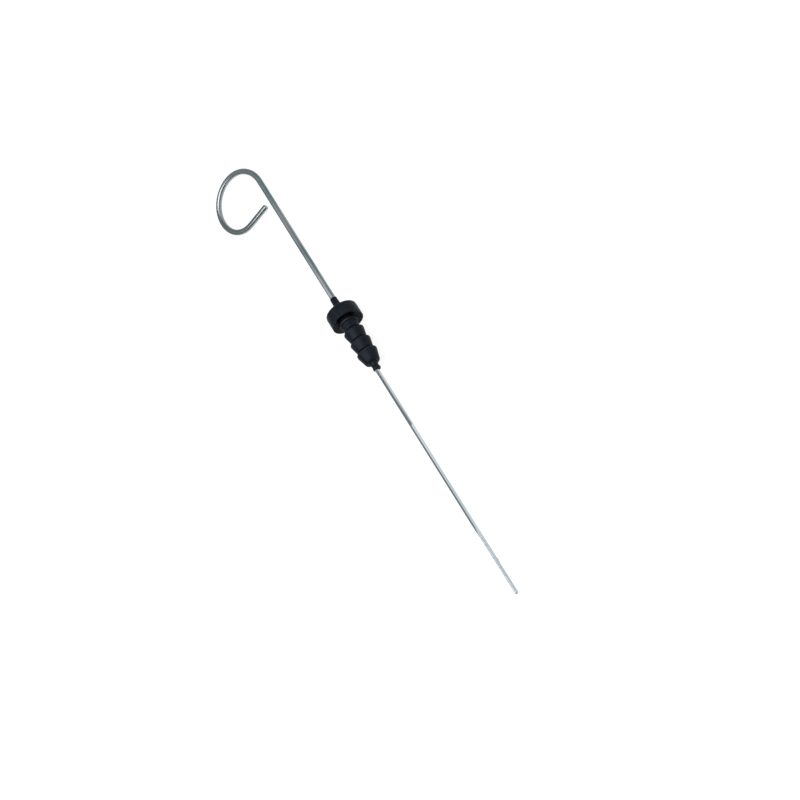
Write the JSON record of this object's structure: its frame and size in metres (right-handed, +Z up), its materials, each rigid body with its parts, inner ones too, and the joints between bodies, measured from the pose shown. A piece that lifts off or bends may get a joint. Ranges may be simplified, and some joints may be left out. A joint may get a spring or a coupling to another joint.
{
  "type": "engine oil dipstick",
  "caption": "Engine oil dipstick: a bright steel wire with a finger loop at one end and a flat gauge blade at the other, carrying a barbed black rubber plug with a hollow cap.",
  "frame": {"origin": "middle of the space it takes up on the surface it lies on, at the level of that surface", "axes": "+X along the stick, from the tip to the loop; +Y towards the far side of the loop; +Z up from the surface it lies on"},
  "size_m": [0.3748, 0.0584, 0.0249],
  "materials": {
    "steel": "drawn wire with bright zinc plating",
    "rubber": "moulded, dull black"
  },
  "bodies": {
    "root": {"stick": "steel", "plug": "rubber"}
  },
  "joints": []
}
